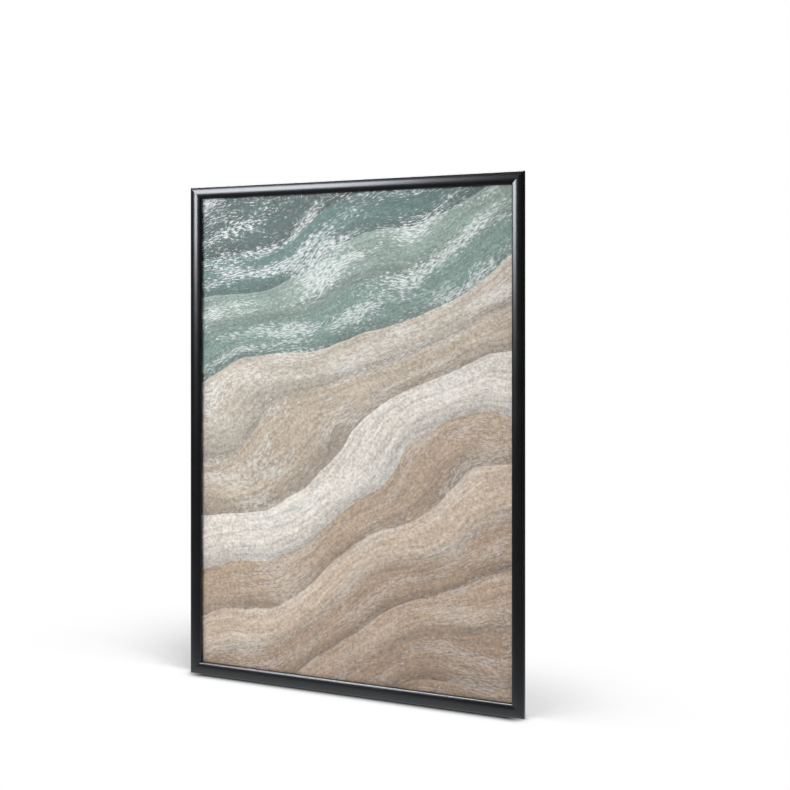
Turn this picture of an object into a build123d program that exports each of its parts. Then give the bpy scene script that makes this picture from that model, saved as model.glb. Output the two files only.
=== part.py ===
from build123d import *
import math
import os

# A clip frame whose four front rails snap open, for a poster on a wall. Lengths are in
# millimetres. The wall is the plane y = 0, the frame faces -Y, +Z is up, and the origin is
# the centre of the frame's back. Rail sections are drawn as inset, inward from the frame's
# outer edge, and level, forward from the wall.

# The sheets that the frame holds
poster_width = 700.0
poster_height = 1000.0
poster_thickness = 0.2
panel_thickness = 1.0
cover_thickness = 0.5

# The rails as a whole
rail_beyond_poster = 15.0
profile_width = 25.0
profile_depth = 13.0
open_angle = 95.0

# The hinge along the outer edge: a bead on the snap rail, in a socket on the base rail
bead_radius = 1.3
bead_clearance = 0.05
neck_width = 0.9
socket_wall = 0.75
socket_setback = 0.1
socket_sink = 0.5
socket_margin_angle = 3.0
swing_gap = 0.2

# The base rail
floor_thickness = 1.2
floor_setback = 1.2
floor_inner_setback = 0.6
guide_rib_inset = 6.6
guide_rib_width = 0.6
guide_rib_height = 0.8
stop_rib_width = 1.2
stop_lip_reach = 0.8
stop_lip_thickness = 0.9
sheet_side_gap = 0.6

# The holes for the wall screws, in the two side base rails
wall_hole_radius = 2.25
wall_hole_from_end = 95.0
screw_head_radius = 4.2

# The snap rail
shell_thickness = 1.3
crest_share = 0.46
crown_radius = 31.0
shoulder_radius = 2.4
brow_radius = 4.0
lip_gap = 0.1
foot_thickness = 0.9
foot_tip_angle = -22.0
notch_radius = 0.35
notch_setback = 0.2
mitre_gap = 0.15
hinge_end_gap = 1.6

# The leaf springs
spring_thickness = 0.3
spring_width = 20.0
spring_height = 3.8
spring_tab = 1.0
spring_ramp = 1.4
spring_tab_bend = 0.9
spring_crown_bend = 1.5
spring_end_gap = 0.1
spring_long_side_shares = [-0.66, -0.22, 0.22, 0.66]
spring_short_side_shares = [-0.6, 0.0, 0.6]

# The corner keys and their grub screws
key_thickness = 2.0
key_leg = 45.0
key_side_gap = 0.1
key_top_gap = 0.1
key_corner_radius = 1.0
key_screw_share = 0.7
grub_radius = 1.95
grub_clearance = 0.05
grub_recess = 0.2
grub_socket_radius = 1.15
grub_socket_depth = 1.2

# Sizes that follow
frame_width = poster_width + 2 * rail_beyond_poster
frame_height = poster_height + 2 * rail_beyond_poster

poster_level = floor_thickness + panel_thickness
cover_level = poster_level + poster_thickness
pack_top = cover_level + cover_thickness

socket_bore = bead_radius + bead_clearance
socket_radius = socket_bore + socket_wall
hinge_inset = socket_setback + socket_radius
hinge_level = floor_thickness - socket_sink + socket_radius
neck_half_angle = math.degrees(math.asin(neck_width / 2 / socket_bore))
socket_side_angle = neck_half_angle + socket_margin_angle
socket_start = 90 + open_angle + socket_side_angle
socket_sweep = 360 - open_angle - 2 * socket_side_angle

stop_rib_inner = rail_beyond_poster - sheet_side_gap
stop_rib_inset = stop_rib_inner - stop_rib_width
stop_lip_inset = stop_rib_inset - stop_lip_reach
stop_lip_level = floor_thickness + key_thickness + key_top_gap
stop_rib_top = stop_lip_level + stop_lip_thickness
guide_rib_inner = guide_rib_inset + guide_rib_width
wall_hole_inset = (guide_rib_inner + stop_lip_inset) / 2

crest_inset = profile_width * crest_share
crown_centre_level = profile_depth - crown_radius
skirt_level = hinge_level + socket_radius + swing_gap
skirt_inner = hinge_inset + neck_width / 2
lip_level = pack_top + lip_gap
lip_inner = profile_width - shell_thickness
foot_bore = socket_radius + swing_gap
foot_radius = foot_bore + foot_thickness
hinge_cutback = hinge_inset + foot_radius + hinge_end_gap

notch_reach = foot_radius - notch_setback
notch_inset = hinge_inset + notch_reach * math.cos(math.radians(foot_tip_angle))
notch_level = hinge_level + notch_reach * math.sin(math.radians(foot_tip_angle))
seat_inset = stop_rib_inset - spring_end_gap
seat_level = (floor_thickness + stop_lip_level) / 2
spring_crest = floor_thickness + spring_height

key_outer = guide_rib_inner + key_side_gap
key_inner = stop_rib_inset - key_side_gap
key_screw_inset = (key_outer + key_inner) / 2
key_screw_along = key_leg * key_screw_share
grub_top = floor_thickness + key_thickness - grub_recess

# Each side's outward direction, its outer edge's distance from the centre, and half its length
forward = Vector(0, -1, 0)
sides = {
    "top": (Vector(0, 0, 1), frame_height / 2, frame_width / 2),
    "bottom": (Vector(0, 0, -1), frame_height / 2, frame_width / 2),
    "left": (Vector(-1, 0, 0), frame_width / 2, frame_height / 2),
    "right": (Vector(1, 0, 0), frame_width / 2, frame_height / 2),
}
spring_shares = {
    "top": spring_short_side_shares,
    "bottom": spring_short_side_shares,
    "left": spring_long_side_shares,
    "right": spring_long_side_shares,
}
corners = {
    "top_left": (-1, 1),
    "top_right": (1, 1),
    "bottom_left": (-1, -1),
    "bottom_right": (1, -1),
}


def section_plane(side, along=0):
    # Local x is the inset, y the level, and z runs along the side
    outward, reach, half_length = sides[side]
    lengthwise = forward.cross(outward)
    return Plane(origin=outward * reach + lengthwise * along, x_dir=-outward, z_dir=lengthwise)


def block(inset, level, inner, top):
    # A rectangle of the section, from corner to corner
    with Locations((inset, level)):
        Rectangle(inner - inset, top - level, align=(Align.MIN, Align.MIN))


def ring_sector(bore, radius, start, sweep):
    # A part of a ring round the hinge's axis
    with BuildLine() as outline:
        near = CenterArc((hinge_inset, hinge_level), bore, start, sweep)
        far = CenterArc((hinge_inset, hinge_level), radius, start, sweep)
        Line(near @ 0, far @ 0)
        Line(near @ 1, far @ 1)
    make_face(outline.edges())


def cut_mitres(side, gap=0):
    # Cuts both ends of the side's rail at 45 degrees, set back by the gap
    section = section_plane(side)
    half_length = sides[side][2] - gap
    for end in (-1, 1):
        corner = section.origin + section.z_dir * (end * half_length)
        mitre = Plane(origin=corner, z_dir=section.x_dir + section.z_dir * end)
        split(bisect_by=mitre, keep=Keep.BOTTOM)


def make_base(side):
    half_length = sides[side][2]
    with BuildPart() as base:
        with BuildSketch(section_plane(side)):
            block(floor_setback, 0, profile_width - floor_inner_setback, floor_thickness)
            ring_sector(socket_bore, socket_radius, socket_start, socket_sweep)
            block(guide_rib_inset, floor_thickness, guide_rib_inner, floor_thickness + guide_rib_height)
            block(stop_rib_inset, floor_thickness, stop_rib_inner, stop_rib_top)
            block(stop_lip_inset, stop_lip_level, stop_rib_inset, stop_rib_top)
            with Locations((hinge_inset, hinge_level)):
                Circle(socket_bore, mode=Mode.SUBTRACT)
        extrude(amount=half_length, both=True)
        cut_mitres(side)
    return base


def drill_wall_holes(base, side):
    # A through hole near each end, with the ribs cut away for the screw's head
    outward, reach, half_length = sides[side]
    middle = outward * (reach - wall_hole_inset) + forward * stop_rib_top
    with base:
        for end in (-1, 1):
            centre = middle + Vector(0, 0, end * (half_length - wall_hole_from_end))
            with Locations(Plane(origin=centre, z_dir=forward)):
                CounterBoreHole(wall_hole_radius, screw_head_radius, stop_rib_top - floor_thickness)


def crown_arc(radius, start, end):
    # An arc round the crown's centre, from one inset to another
    def point(inset):
        return (inset, crown_centre_level + math.sqrt(radius**2 - (inset - crest_inset) ** 2))

    return ThreePointArc(point(start), point(crest_inset), point(end))


def make_snap_rail(side):
    half_length = sides[side][2]
    with BuildPart() as rail:
        with BuildSketch(section_plane(side)) as section:
            with BuildLine():
                crown = crown_arc(crown_radius, 0, profile_width)
                under = crown_arc(crown_radius - shell_thickness, skirt_inner, lip_inner)
                Polyline(crown @ 0, (0, skirt_level), (skirt_inner, skirt_level), under @ 0)
                Polyline(crown @ 1, (profile_width, lip_level), (lip_inner, lip_level), under @ 1)
            make_face()
            for edge, radius in ((0, shoulder_radius), (-1, brow_radius)):
                upright = section.vertices().group_by(Axis.X)[edge]
                fillet(upright.sort_by(Axis.Y)[-1], radius=radius)
        extrude(amount=half_length, both=True)
        cut_mitres(side, mitre_gap)
        with BuildSketch(section_plane(side)):
            block(hinge_inset - neck_width / 2, hinge_level, skirt_inner, skirt_level)
            ring_sector(foot_bore, foot_radius, foot_tip_angle, 90 - foot_tip_angle)
            with Locations((hinge_inset, hinge_level)):
                Circle(bead_radius)
            with Locations((notch_inset, notch_level)):
                Circle(notch_radius, mode=Mode.SUBTRACT)
        extrude(amount=half_length - hinge_cutback, both=True)
    return rail


def make_leaf_spring(side, along):
    # A bowed strip from the notch in the snap rail's foot to the seat under the stop lip
    with BuildPart() as spring:
        with BuildSketch(section_plane(side, along)):
            with BuildLine():
                crown_start = notch_inset + spring_tab + spring_ramp
                crown_end = seat_inset - spring_tab - spring_ramp
                FilletPolyline(
                    (notch_inset, notch_level),
                    (notch_inset + spring_tab, notch_level),
                    (crown_start, spring_crest),
                    (crown_end, spring_crest),
                    (seat_inset - spring_tab, seat_level),
                    (seat_inset, seat_level),
                    radius=[spring_tab_bend, spring_crown_bend, spring_crown_bend, spring_tab_bend],
                )
            trace(line_width=spring_thickness)
        extrude(amount=spring_width / 2, both=True)
    return spring


def corner_point(corner, inset_x, inset_z):
    # A point on the frame's front view, by its insets from that corner's two outer edges
    sign_x, sign_z = corners[corner]
    return (sign_x * (frame_width / 2 - inset_x), sign_z * (frame_height / 2 - inset_z))


def key_screw_points(corner):
    return [
        corner_point(corner, key_screw_inset, key_screw_along),
        corner_point(corner, key_screw_along, key_screw_inset),
    ]


def make_corner_key(corner):
    with BuildPart() as key:
        with BuildSketch(Plane.XZ.offset(floor_thickness)):
            with BuildLine():
                FilletPolyline(
                    corner_point(corner, key_outer, key_outer),
                    corner_point(corner, key_outer, key_leg),
                    corner_point(corner, key_inner, key_leg),
                    corner_point(corner, key_inner, key_inner),
                    corner_point(corner, key_leg, key_inner),
                    corner_point(corner, key_leg, key_outer),
                    radius=[key_corner_radius] * 3 + [0] + [key_corner_radius] * 2,
                    close=True,
                )
            make_face()
            with Locations(*key_screw_points(corner)):
                Circle(grub_radius + grub_clearance, mode=Mode.SUBTRACT)
        extrude(amount=key_thickness)
    return key


def make_corner_screws():
    # Grub screws that stand on the base rails' floor and hold the keys up against the stop lip
    with BuildPart() as screws:
        points = [point for corner in corners for point in key_screw_points(corner)]
        with BuildSketch(Plane.XZ.offset(floor_thickness)):
            with Locations(*points):
                Circle(grub_radius)
        extrude(amount=grub_top - floor_thickness)
        with BuildSketch(Plane.XZ.offset(grub_top)):
            with Locations(*points):
                RegularPolygon(grub_socket_radius, side_count=6)
        extrude(amount=-grub_socket_depth, mode=Mode.SUBTRACT)
    return screws


def make_sheet(level, thickness):
    with BuildPart() as sheet:
        with BuildSketch(Plane.XZ.offset(level)):
            Rectangle(poster_width, poster_height)
        extrude(amount=thickness)
    return sheet


pieces = {}
for side in sides:
    pieces[f"base_{side}"] = make_base(side)
    pieces[f"snap_rail_{side}"] = make_snap_rail(side)
    for number, share in enumerate(spring_shares[side], start=1):
        spring = make_leaf_spring(side, share * sides[side][2])
        pieces[f"leaf_spring_{side}_{number}"] = spring
drill_wall_holes(pieces["base_left"], "left")
drill_wall_holes(pieces["base_right"], "right")
for corner in corners:
    pieces[f"corner_key_{corner}"] = make_corner_key(corner)
pieces["corner_screws"] = make_corner_screws()
pieces["backing_panel"] = make_sheet(floor_thickness, panel_thickness)
pieces["poster"] = make_sheet(poster_level, poster_thickness)
pieces["cover_sheet"] = make_sheet(cover_level, cover_thickness)

os.makedirs("parts", exist_ok=True)
for name, piece in pieces.items():
    piece.part.label = name
    export_step(piece.part, f"parts/{name}.step")
    print(name, len(piece.part.solids()), round(piece.part.volume, 2))
print("frame", frame_width, frame_height, profile_depth, "hinge", hinge_inset, hinge_level)
print("wall holes", frame_width - 2 * wall_hole_inset, frame_height - 2 * wall_hole_from_end)
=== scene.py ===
import math

import bpy
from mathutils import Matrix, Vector


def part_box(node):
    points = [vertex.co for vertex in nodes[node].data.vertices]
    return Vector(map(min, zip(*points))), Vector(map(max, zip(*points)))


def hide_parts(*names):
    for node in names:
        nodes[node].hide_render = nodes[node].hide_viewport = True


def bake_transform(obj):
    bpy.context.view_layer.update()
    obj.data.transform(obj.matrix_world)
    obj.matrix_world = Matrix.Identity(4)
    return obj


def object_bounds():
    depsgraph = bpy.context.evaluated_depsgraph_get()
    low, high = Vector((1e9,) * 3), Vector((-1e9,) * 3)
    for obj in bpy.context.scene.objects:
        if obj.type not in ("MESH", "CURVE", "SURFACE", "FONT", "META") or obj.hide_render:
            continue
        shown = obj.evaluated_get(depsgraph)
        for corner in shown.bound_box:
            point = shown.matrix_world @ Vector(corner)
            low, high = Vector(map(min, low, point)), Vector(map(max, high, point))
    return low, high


# A clip frame for a wall, whose four black rails snap open. Lengths are metres. X runs right,
# Z up, the wall is the plane y = 0 and the front faces -Y.

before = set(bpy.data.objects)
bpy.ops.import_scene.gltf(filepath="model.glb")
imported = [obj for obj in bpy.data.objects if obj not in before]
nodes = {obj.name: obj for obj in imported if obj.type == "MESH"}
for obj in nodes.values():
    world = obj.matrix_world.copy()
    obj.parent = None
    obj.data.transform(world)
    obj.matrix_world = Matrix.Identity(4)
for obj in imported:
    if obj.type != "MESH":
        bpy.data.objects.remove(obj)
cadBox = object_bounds()
mm = 0.001
forward = Vector((0, -1, 0))
sides = {
    "top": Vector((0, 0, 1)),
    "bottom": Vector((0, 0, -1)),
    "left": Vector((-1, 0, 0)),
    "right": Vector((1, 0, 0)),
}
print("frame loaded with", len(nodes), "nodes")


# Camera, to the right of the frame and level with its upper half
cameraSettings = {
    "place": (0.9118, -2.009, 0.2375),
    "tilt": 90.0,  # degrees up from looking straight down
    "turn": 22.0,  # degrees to the left of straight ahead
    "lens": 50.0,
    "sensor": 36.0,
    "shiftRight": -0.0005,
    "shiftUp": -0.097,
}


def link(name, data):
    made = bpy.data.objects.new(name, data)
    bpy.context.scene.collection.objects.link(made)
    return made


def addCamera(settings):
    data = bpy.data.cameras.new("camera")
    data.lens = settings["lens"]
    data.sensor_width = settings["sensor"]
    data.shift_x, data.shift_y = settings["shiftRight"], settings["shiftUp"]
    camera = link("camera", data)
    camera.location = settings["place"]
    camera.rotation_euler = (math.radians(settings["tilt"]), 0, math.radians(settings["turn"]))
    bpy.context.scene.camera = camera


addCamera(cameraSettings)
print("camera placed")


# Shader maths: a Signal is an output socket, and operators on it add Math nodes
class Signal:
    def __init__(self, finish, socket):
        self.finish = finish
        self.socket = socket

    def maths(self, operation, *operands):
        return self.finish.node("ShaderNodeMath", {"operation": operation}, dict(enumerate(operands)))

    def __add__(self, other):
        return self.maths("ADD", self, other)

    def __radd__(self, other):
        return self.maths("ADD", other, self)

    def __sub__(self, other):
        return self.maths("SUBTRACT", self, other)

    def __rsub__(self, other):
        return self.maths("SUBTRACT", other, self)

    def __mul__(self, other):
        return self.maths("MULTIPLY", self, other)

    def __rmul__(self, other):
        return self.maths("MULTIPLY", other, self)

    def __truediv__(self, other):
        return self.maths("DIVIDE", self, other)

    def __rtruediv__(self, other):
        return self.maths("DIVIDE", other, self)

    def __gt__(self, other):
        return self.maths("GREATER_THAN", self, other)

    def __lt__(self, other):
        return self.maths("LESS_THAN", self, other)

    def size(self):
        return self.maths("ABSOLUTE", self)

    def whole(self):
        return self.maths("FLOOR", self)

    def rest(self):
        return self.maths("FRACT", self)

    def centred(self):
        return self - 0.5  # a noise lies evenly around a half

    def within(self, low, high, outLow=0.0, outHigh=1.0):
        settings = {"interpolation_type": "SMOOTHSTEP"}
        inputs = {0: self, 1: low, 2: high, 3: outLow, 4: outHigh}
        return self.finish.node("ShaderNodeMapRange", settings, inputs)


# A finish is a material, or the world, with the one method that adds nodes to it
class Finish:
    def __init__(self, owner):
        owner.use_nodes = True
        self.owner = owner
        self.tree = owner.node_tree
        self.tree.nodes.clear()

    def node(self, kind, settings=None, inputs=None, output=0):
        made = self.tree.nodes.new(kind)
        for name, value in (settings or {}).items():
            if name == "stops":
                self.setStops(made.color_ramp, value)
            else:
                setattr(made, name, value)
        for name, value in (inputs or {}).items():
            if isinstance(value, Signal):
                self.tree.links.new(value.socket, made.inputs[name])
            else:
                made.inputs[name].default_value = value
        return Signal(self, made.outputs[output] if made.outputs else None)

    def setStops(self, ramp, stops):
        ramp.interpolation = "CONSTANT"
        while len(ramp.elements) < len(stops):
            ramp.elements.new(1.0)
        for element, (place, colour) in zip(ramp.elements, stops):
            element.position = place
            element.color = (*colour, 1.0)

    def mixed(self, share, first, second):
        colours = [c if isinstance(c, Signal) else (*c, 1.0) for c in (first, second)]
        inputs = {0: share, 6: colours[0], 7: colours[1]}
        return self.node("ShaderNodeMix", {"data_type": "RGBA"}, inputs, 2)

    def scaled(self, colour, factor):
        settings = {"operation": "SCALE"}
        return self.node("ShaderNodeVectorMath", settings, {0: colour, "Scale": factor})

    def place(self, output="Object"):
        return self.node("ShaderNodeTexCoord", output=output)

    def axes(self, vector):
        return [self.node("ShaderNodeSeparateXYZ", inputs={0: vector}, output=axis) for axis in "XYZ"]

    def point(self, x, y, z):
        return self.node("ShaderNodeCombineXYZ", inputs={0: x, 1: y, 2: z})

    def stretched(self, vector, scale):
        return self.node("ShaderNodeVectorMath", {"operation": "MULTIPLY"}, {0: vector, 1: scale})

    def noise(self, vector, texture):
        return self.node("ShaderNodeTexNoise", inputs={"Vector": vector, **texture})

    def crystals(self, vector, scale):
        # a grey of its own in each cell
        inputs = {"Vector": vector, "Scale": scale}
        return self.axes(self.node("ShaderNodeTexVoronoi", inputs=inputs, output="Color"))[0]

    def bump(self, height, depth):
        return self.node("ShaderNodeBump", inputs={"Height": height, "Distance": depth})

    def surface(self, inputs):
        return self.end("ShaderNodeOutputMaterial", self.node("ShaderNodeBsdfPrincipled", inputs=inputs))

    def end(self, kind, shader):
        self.node(kind, inputs={"Surface": shader})
        return self.owner


def newFinish(name):
    return Finish(bpy.data.materials.new(name))


# In the looks, a range or a shade is the low and the high end that a pattern eases between, then
# the values that it gives there, if they aren't 0 and 1. A name with By in it is how much the
# pattern named after it adds.

# Satin black anodised aluminium, drawn lengthwise, with sawn ends
aluminiumLook = {
    "black": (0.0034, 0.0034, 0.0038),
    "worn": (0.0062, 0.0061, 0.0064),
    "wornRange": (0.35, 0.75),
    "wornByPatch": 0.6,
    "wornByGrain": 0.2,
    "sawn": (0.012, 0.012, 0.0125),
    "oxideIor": 1.65,
    "sheen": (0.90, 0.94, 1.0, 1.0),
    "roughness": 0.235,
    "roughnessByPatch": 0.04,
    "roughnessByGrain": 0.05,
    "sawnRoughness": 0.5,
    "cutFacing": 0.12,  # a face that looks this much along the rail is a cut one
    "drawAcross": 1400.0,
    "drawAlong": 5.0,
    "draw": {"Scale": 1.0, "Detail": 3.0},
    "drawDepth": 0.0008,  # both depths are in millimetres
    "grain": {"Scale": 2600.0, "Detail": 1.0},
    "grainDepth": 0.0012,
    "patch": {"Scale": 9.0, "Detail": 4.0, "Roughness": 0.6},
}


def blackAluminium(name, axis, look):
    finish = newFinish(name)
    place = finish.place()
    scale = [look["drawAcross"]] * 3
    scale[axis] = look["drawAlong"]
    draw = finish.noise(finish.stretched(place, scale), look["draw"])
    grain = finish.noise(place, look["grain"])
    patch = finish.noise(place, look["patch"])
    cut = finish.axes(finish.place("Normal"))[axis].size() > look["cutFacing"]
    worn = look["wornByPatch"] * patch.within(*look["wornRange"]) + look["wornByGrain"] * grain
    black = finish.mixed(worn, look["black"], look["worn"])
    uneven = patch.centred() * look["roughnessByPatch"] + grain.centred() * look["roughnessByGrain"]
    sawn = cut * (look["sawnRoughness"] - look["roughness"])
    relief = look["drawDepth"] * draw + look["grainDepth"] * grain
    return finish.surface({
        "Base Color": finish.mixed(cut, black, look["sawn"]),
        "Roughness": look["roughness"] + uneven + sawn,
        "Normal": finish.bump(relief, mm),
        "IOR": look["oxideIor"],
        "Specular Tint": look["sheen"],
    })


# Spring steel, tempered to a faint straw and blue, rolled across the strip
springSteelLook = {
    "straw": (0.33, 0.29, 0.23),
    "blue": (0.17, 0.19, 0.23),
    "temper": {"Scale": 70.0, "Detail": 3.0},
    "temperRange": (0.35, 0.65),
    "roughness": 0.26,
    "roughnessByRoll": 0.12,
    "rollStretch": (1.0, 0.08, 1.0),
    "roll": {"Scale": 2600.0, "Detail": 2.0},
    "rollDepth": 0.003 * mm,
}


def springSteel(look):
    finish = newFinish("springSteel")
    place = finish.place()
    roll = finish.noise(finish.stretched(place, look["rollStretch"]), look["roll"])
    temper = finish.noise(place, look["temper"]).within(*look["temperRange"])
    return finish.surface({
        "Base Color": finish.mixed(temper, look["straw"], look["blue"]),
        "Metallic": 1.0,
        "Roughness": look["roughness"] + roll * look["roughnessByRoll"],
        "Normal": finish.bump(roll, look["rollDepth"]),
    })


# Bright zinc on the corner keys and their grub screws, with a fine crystal pattern
zincLook = {
    "light": (0.62, 0.63, 0.64),
    "dull": (0.43, 0.44, 0.45),
    "keyShade": 1.0,
    "screwShade": 0.6,
    "crystalScale": 620.0,
    "lightByCrystal": 0.7,
    "lightByGrain": 0.3,
    "roughness": 0.3,
    "roughnessByCrystal": 0.18,
    "grain": {"Scale": 3200.0, "Detail": 2.0},
    "grainDepth": 0.005 * mm,
}


def zincPlate(name, look, shade):
    finish = newFinish(name)
    place = finish.place()
    crystals = finish.crystals(place, look["crystalScale"])
    grain = finish.noise(place, look["grain"])
    light, dull = ([channel * shade for channel in look[tone]] for tone in ("light", "dull"))
    bright = crystals * look["lightByCrystal"] + grain * look["lightByGrain"]
    return finish.surface({
        "Base Color": finish.mixed(bright, dull, light),
        "Metallic": 1.0,
        "Roughness": look["roughness"] + crystals * look["roughnessByCrystal"],
        "Normal": finish.bump(grain, look["grainDepth"]),
    })


# The white polystyrene back panel, rolled smooth with a faint haircell grain
boardLook = {
    "white": (0.80, 0.80, 0.785),
    "shade": (0.735, 0.735, 0.715),
    "shadeByHair": 0.4,
    "shadeByRoll": 0.6,
    "roughness": 0.48,
    "roughnessByHair": 0.2,
    "hair": {"Scale": 900.0, "Detail": 3.0, "Roughness": 0.65},
    "hairDepth": 0.012 * mm,
    "rollStretch": (1.0, 1.0, 6.0),
    "roll": {"Scale": 3.0, "Detail": 3.0},
}


def whiteBoard(look):
    finish = newFinish("whiteBoard")
    place = finish.place()
    hair = finish.noise(place, look["hair"])
    roll = finish.noise(finish.stretched(place, look["rollStretch"]), look["roll"])
    shaded = hair * look["shadeByHair"] + roll * look["shadeByRoll"]
    return finish.surface({
        "Base Color": finish.mixed(shaded, look["white"], look["shade"]),
        "Roughness": look["roughness"] + hair.centred() * look["roughnessByHair"],
        "Normal": finish.bump(hair, look["hairDepth"]),
    })


# The print: slanting brushed ribbons that lie over one another like cut paper
printLook = {
    "rise": 0.80,  # how fast the ribbons follow each other upwards, and to the left
    "lean": -0.36,
    "start": 0.46,
    "drift": {"Scale": 2.1, "Detail": 1.0},
    "driftReach": 0.34,
    "waver": {"Scale": 9.0, "Detail": 2.0},
    "waverReach": 0.022,
    "colours": [  # of the ribbons, from the lowest up
        (0.300, 0.203, 0.130),
        (0.390, 0.280, 0.190),
        (0.320, 0.222, 0.146),
        (0.480, 0.375, 0.280),
        (0.370, 0.270, 0.185),
        (0.590, 0.545, 0.485),
        (0.410, 0.335, 0.255),
        (0.460, 0.405, 0.335),
        (0.138, 0.228, 0.197),
        (0.205, 0.292, 0.252),
        (0.062, 0.152, 0.138),
        (0.024, 0.082, 0.076),
        (0.040, 0.115, 0.110),
    ],
    "ribbonShade": (0.0, 0.45, 0.66, 1.0),  # each ribbon is darkest at its lower edge
    "stroke": {"across": 170.0, "along": 9.0, "detail": 5.0, "roughness": 0.7},
    "strokeShade": (0.25, 0.75, 0.70, 1.25),
    "speckle": {"Scale": 210.0, "Detail": 4.0, "Roughness": 0.75},
    "speckleShade": (0.34, 0.66, 0.53, 0.96),
    "lift": (0.60, 0.62, 0.62),  # the pale flecks, which lie in drifts, most of them high up
    "fleck": {"across": 430.0, "along": 95.0, "detail": 4.0, "roughness": 0.75},
    "fleckRange": (0.52, 0.63),
    "fleckDrift": {"across": 28.0, "along": 7.0, "detail": 3.0, "roughness": 0.5},
    "fleckDriftRange": (0.38, 0.66, -0.06, 0.09),
    "fleckRise": (0.35, 0.85, 0.25, 0.85),
    "bareWhite": (0.83, 0.83, 0.81),
    "frontFacing": -0.5,
    "roughness": 0.42,
    "roughnessByGrain": 0.2,
    "grain": {"Scale": 1500.0, "Detail": 2.0},
    "grainDepth": 0.004 * mm,
}


def brushed(finish, flow, along, lot, brush):
    # a noise drawn out along the ribbons, and another one for each lot
    place = finish.point(flow * brush["across"], along * brush["along"], lot)
    texture = {"Scale": 1.0, "Detail": brush["detail"], "Roughness": brush["roughness"]}
    return finish.noise(place, texture)


def ribbonTone(finish, place, flow, along, look):
    # the ribbons' colours, shaded by their overlap, the strokes and the speckle
    count = len(look["colours"])
    step = flow * count
    stops = [(index / count, colour) for index, colour in enumerate(look["colours"])]
    middle = (step.whole() + 0.5) / count
    ribbon = finish.node("ShaderNodeValToRGB", {"stops": stops}, {0: middle})
    strokes = brushed(finish, flow, along, step.whole(), look["stroke"])
    speckle = finish.noise(place, look["speckle"])
    lay = step.rest().within(*look["ribbonShade"]) * strokes.within(*look["strokeShade"])
    return finish.scaled(ribbon, lay * speckle.within(*look["speckleShade"]))


def printedPaper(look):
    finish = newFinish("printedPaper")
    place = finish.place()
    across, _, up = finish.axes(place)
    drift = finish.noise(place, look["drift"]).centred() * look["driftReach"]
    waver = finish.noise(place, look["waver"]).centred() * look["waverReach"]
    flow = up * look["rise"] + across * look["lean"] + drift + waver + look["start"]
    along = up * look["lean"] - across * look["rise"]
    tone = ribbonTone(finish, place, flow, along, look)
    flecks = brushed(finish, flow, along, 0.0, look["fleck"])
    drifts = brushed(finish, flow, along, 0.0, look["fleckDrift"]).within(*look["fleckDriftRange"])
    pale = (flecks + drifts).within(*look["fleckRange"]) * flow.within(*look["fleckRise"])
    grain = finish.noise(place, look["grain"])
    front = finish.axes(finish.place("Normal"))[1] < look["frontFacing"]
    return finish.surface({
        "Base Color": finish.mixed(front, look["bareWhite"], finish.mixed(pale, tone, look["lift"])),
        "Roughness": look["roughness"] + grain * look["roughnessByGrain"],
        "Normal": finish.bump(grain, look["grainDepth"]),
    })


# The clear cover sheet, with a fine matt grain that keeps glare off the print
coverLook = {
    "tint": (0.90, 0.92, 0.92),
    "alpha": 0.035,
    "roughness": 0.34,
    "roughnessBySmear": 0.1,
    "smear": {"Scale": 6.0, "Detail": 4.0},
    "grain": {"Scale": 3000.0, "Detail": 2.0},
    "grainDepth": 0.006 * mm,
}


def clearSheet(look):
    finish = newFinish("clearSheet")
    place = finish.place()
    grain = finish.noise(place, look["grain"])
    smear = finish.noise(place, look["smear"])
    return finish.surface({
        "Base Color": (*look["tint"], 1.0),
        "Alpha": look["alpha"],
        "Roughness": look["roughness"] + smear.centred() * look["roughnessBySmear"],
        "Normal": finish.bump(grain, look["grainDepth"]),
    })


def dress(material, *names):
    for name in names:
        for slot in nodes[name].material_slots:
            slot.material = material


keys = [f"corner_key_{end}_{side}" for end in ("top", "bottom") for side in ("left", "right")]
acrossAluminium = blackAluminium("acrossAluminium", 0, aluminiumLook)
uprightAluminium = blackAluminium("uprightAluminium", 2, aluminiumLook)
springFinish = springSteel(springSteelLook)
dress(acrossAluminium, "base_top", "base_bottom", "snap_rail_top", "snap_rail_bottom")
dress(uprightAluminium, "base_left", "base_right", "snap_rail_left", "snap_rail_right")
dress(zincPlate("zincPlate", zincLook, zincLook["keyShade"]), *keys)
dress(zincPlate("screwZinc", zincLook, zincLook["screwShade"]), "corner_screws")
dress(whiteBoard(boardLook), "backing_panel")
dress(printedPaper(printLook), "poster")
dress(clearSheet(coverLook), "cover_sheet")
print("finishes made:", len(bpy.data.materials))


# The leaf springs: bowed strips from the seat in the base to the notch in the snap rail
stripSettings = {
    "thickness": 0.3 * mm,
    "tab": 1.0 * mm,
    "ramp": 1.4 * mm,
    "seatLevel": 2.25 * mm,
    "tabBend": 0.9 * mm,
    "crownBend": 1.5 * mm,
    "endRadius": 1.6 * mm,
    "hingePart": 0.32,  # the share of the strip's reach, from its notch, where a bend would start; the strip is not bent with it
    "bendSteps": 6,
    "runStep": 0.35 * mm,
    "acrossSteps": 8,
    "edgeRound": 0.05 * mm,
    "edgeSegments": 2,
}


def roundedPath(points, radii, steps):
    # straight runs with an arc of the given radius at each inner point
    path = [points[0]]
    for before, corner, after, radius in zip(points, points[1:], points[2:], radii):
        arrive = (before - corner).normalized()
        leave = (after - corner).normalized()
        halfAngle = arrive.angle(leave) / 2
        centre = corner + (arrive + leave).normalized() * (radius / math.sin(halfAngle))
        reach = radius / math.tan(halfAngle)
        first = (corner + arrive * reach - centre).normalized()
        last = (corner + leave * reach - centre).normalized()
        path += [centre + first.slerp(last, step / steps) * radius for step in range(steps + 1)]
    return path + [points[-1]]


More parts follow.
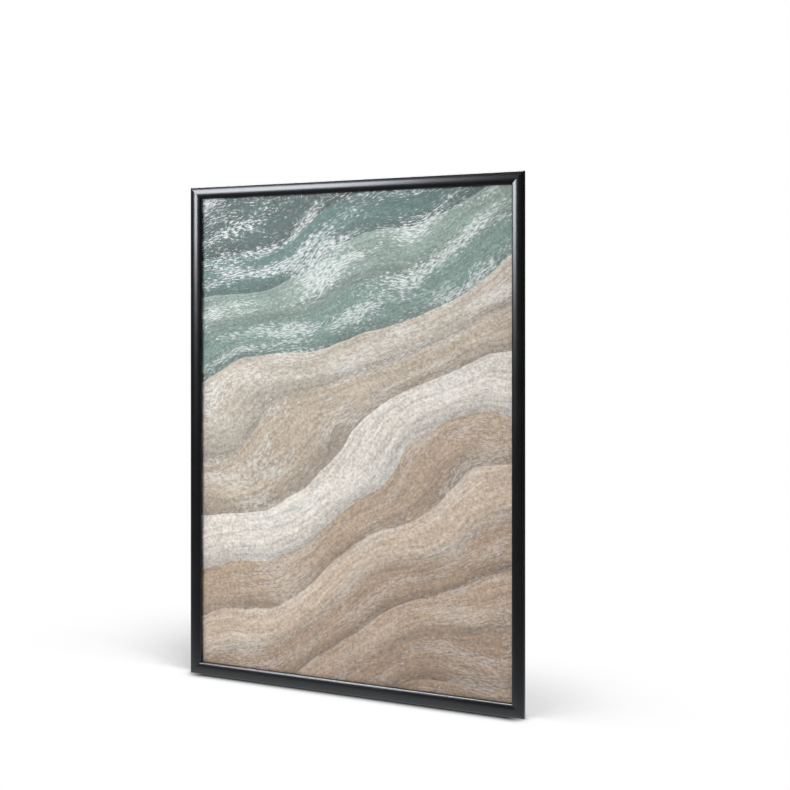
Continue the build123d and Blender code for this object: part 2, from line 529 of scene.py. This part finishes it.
def spaced(path, spacing):
    # the same path with extra points on its longer runs
    made = [path[0]]
    for start, end in zip(path, path[1:]):
        count = max(1, math.ceil((end - start).length / spacing))
        made += [start.lerp(end, step / count) for step in range(1, count + 1)]
    return made


def ranges(name, axes):
    # the lowest and highest place of a node along each axis
    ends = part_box(name)
    return [sorted(end.dot(axis) for end in ends) for axis in axes]


def stripPath(notch, seat, crest, settings):
    # each point is how far out it lies, and how far forward
    tab, ramp = settings["tab"], settings["ramp"]
    inward = math.copysign(1, seat[0] - notch[0])
    points = [
        (notch[0], notch[1]),
        (notch[0] + inward * tab, notch[1]),
        (notch[0] + inward * (tab + ramp), crest),
        (seat[0] - inward * (tab + ramp), crest),
        (seat[0] - inward * tab, seat[1]),
        (seat[0], seat[1]),
    ]
    bends = [settings["tabBend"], settings["crownBend"], settings["crownBend"], settings["tabBend"]]
    path = roundedPath([Vector((*point, 0)) for point in points], bends, settings["bendSteps"])
    return spaced(path, settings["runStep"])


def stripPoints(path, outward, lengthwise, span, settings):
    # a row across the strip at each point of the path, shorter where the ends are rounded
    lengths = [0.0]
    for before, after in zip(path, path[1:]):
        lengths.append(lengths[-1] + (after - before).length)
    middle, halfWidth, radius = (span[0] + span[1]) / 2, (span[1] - span[0]) / 2, settings["endRadius"]
    points = []
    for point, length in zip(path, lengths):
        nearEnd = max(0.0, radius - min(length, lengths[-1] - length))
        halfHere = halfWidth - radius + math.sqrt(radius ** 2 - nearEnd ** 2)
        for step in range(settings["acrossSteps"] + 1):
            along = middle + halfHere * (2 * step / settings["acrossSteps"] - 1)
            points.append(outward * point.x + forward * point.y + lengthwise * along)
    return points


def stripMesh(name, points, row, material):
    # row is the number of points across the strip
    faces = [
        (first, first + 1, first + row + 1, first + row)
        for rowStart in range(0, len(points) - row, row)
        for first in range(rowStart, rowStart + row - 1)
    ]
    mesh = bpy.data.meshes.new(name)
    mesh.from_pydata(points, [], faces)
    mesh.shade_smooth()
    mesh.materials.append(material)
    return mesh


def thicken(strip, settings):
    solid = strip.modifiers.new("thickness", "SOLIDIFY")
    solid.thickness = settings["thickness"]
    solid.offset = 0.0
    edge = strip.modifiers.new("edges", "BEVEL")
    edge.width = settings["edgeRound"]
    edge.segments = settings["edgeSegments"]
    edge.harden_normals = True


def addSpring(node, side, settings, material):
    outward = sides[side]
    lengthwise = forward.cross(outward)
    (seatOut, notchOut), (low, high), span = ranges(node, (outward, forward, lengthwise))
    half = settings["thickness"] / 2
    notch, seat = (notchOut, low + half), (seatOut, settings["seatLevel"])
    path = stripPath(notch, seat, high - half, settings)
    points = stripPoints(path, outward, lengthwise, span, settings)
    name = node.replace("leaf_spring", "springStrip")
    strip = link(name, stripMesh(name, points, settings["acrossSteps"] + 1, material))
    thicken(strip, settings)
    bendStart = notchOut + (seatOut - notchOut) * settings["hingePart"]
    outward * bendStart
    outward * notchOut
    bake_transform(strip)
    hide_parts(node)


for side in sides:
    springNodes = [name for name in nodes if name.startswith(f"leaf_spring_{side}_")]
    for name in springNodes:
        addSpring(name, side, stripSettings, springFinish)
    print(side, "springs:", len(springNodes))


# The studio: a white floor and surroundings, and a large soft box to the left of the camera
floorSettings = {
    "halfSize": 9.0,
    "paper": (0.8, 0.8, 0.8),
    "shadeSamples": 16,
    "shades": [  # the wide shade behind the frame, at its left end and at its right
        {"lean": (0.6, -0.3, 0.7), "reach": 0.60, "closed": 0.78, "open": 0.99, "dark": 0.60},
        {"lean": (-1.0, -0.3, 0.3), "reach": 0.40, "closed": 0.68, "open": 0.98, "dark": 0.72},
    ],
    "middle": 0.1,  # the one passes into the other this near to the frame's middle
    "behind": (-0.012, 0.02),
    "footReach": 0.034,  # the narrow shade hugs the frame's foot and fades towards its ends
    "footOpen": 0.97,
    "footClosed": 0.60,
    "footDark": 0.03,
    "footEnds": (0.33, 0.375),
    "footEndShare": 0.55,
    "glossReach": 0.10,  # how far from the frame the floor still looks half white in its gloss
}
worldSettings = {
    "fill": 0.14,
    "glossRange": (0.45, 0.9, 0.025, 0.45),  # how white the surroundings look in a gloss, by height
}
lampSettings = {
    "softBox": {"place": (-1.62, -2.6, 1.18), "size": (1.2, 1.32), "radiance": 14.5},
    "highBox": {"place": (-1.95, -0.35, 6.1), "size": (3.4, 3.4), "radiance": 27.0},
    "backBox": {"place": (0.9, 2.6, 1.9), "size": (1.6, 1.6), "radiance": 5.0},
}


def raysSeen(finish):
    # what the camera sees straight, in a gloss and through the clear sheet
    rays = ("Camera", "Glossy", "Transmission")
    return [finish.node("ShaderNodeLightPath", output=f"Is {ray} Ray") for ray in rays]


def openness(finish, inputs, settings):
    # how little stands around a place on the floor
    samples = {"samples": settings["shadeSamples"]}
    return finish.node("ShaderNodeAmbientOcclusion", samples, inputs, "AO")


def wideShade(finish, look, settings):
    lean = {"Distance": look["reach"], "Normal": finish.point(*look["lean"])}
    return openness(finish, lean, settings).within(look["closed"], look["open"], 1 - look["dark"], 0.0)


def floorFinish(settings):
    finish = newFinish("floorPaper")
    across, back, _ = finish.axes(finish.place())
    left, right = [wideShade(finish, look, settings) for look in settings["shades"]]
    side = across.within(-settings["middle"], settings["middle"])
    shade = 1 - (left + (right - left) * side) * back.within(*settings["behind"])
    near = openness(finish, {"Distance": settings["footReach"]}, settings)
    foot = near.within(settings["footClosed"], settings["footOpen"], settings["footDark"], 1.0)
    ends = across.size().within(*settings["footEnds"], 0.0, settings["footEndShare"])
    footed = foot + ends - foot * ends
    pool = settings["glossReach"] / (back.size() + settings["glossReach"])
    camera, gloss, clear = raysSeen(finish)
    white = shade * footed * (camera + clear) + gloss * pool
    glow = finish.node("ShaderNodeEmission", inputs={"Strength": white})
    paper = finish.node("ShaderNodeBsdfDiffuse", inputs={"Color": (*settings["paper"], 1.0)})
    seen = {0: camera + gloss + clear, 1: paper, 2: glow}
    return finish.end("ShaderNodeOutputMaterial", finish.node("ShaderNodeMixShader", inputs=seen))


def addFloor(settings):
    half, level = settings["halfSize"], cadBox[0].z
    points = [(x * half, y * half, level) for x, y in ((-1, -1), (1, -1), (1, 1), (-1, 1))]
    mesh = bpy.data.meshes.new("studioFloor")
    mesh.from_pydata(points, [], [(0, 1, 2, 3)])
    mesh.materials.append(floorFinish(settings))
    link("studioFloor", mesh)


def lightWorld(settings):
    world = bpy.data.worlds.new("studio")
    bpy.context.scene.world = world
    finish = Finish(world)
    camera, gloss, clear = raysSeen(finish)
    height = finish.axes(finish.place("Generated"))[2]
    seen = camera + clear + gloss * height.within(*settings["glossRange"])
    strength = seen + (1 - camera - gloss - clear) * settings["fill"]
    sky = {"Color": (1.0, 1.0, 1.0, 1.0), "Strength": strength}
    finish.end("ShaderNodeOutputWorld", finish.node("ShaderNodeBackground", inputs=sky))


def addLamp(name, settings):
    data = bpy.data.lights.new(name, "AREA")
    data.shape = "RECTANGLE"
    data.size, data.size_y = settings["size"]
    data.energy = settings["radiance"] * math.pi * data.size * data.size_y
    lamp = link(name, data)
    lamp.location = settings["place"]
    lamp.rotation_euler = (-lamp.location).to_track_quat("-Z", "Y").to_euler()  # at the frame


addFloor(floorSettings)
lightWorld(worldSettings)
for name, settings in lampSettings.items():
    addLamp(name, settings)
bpy.context.scene.view_settings.view_transform = "Standard"
print("studio lit")
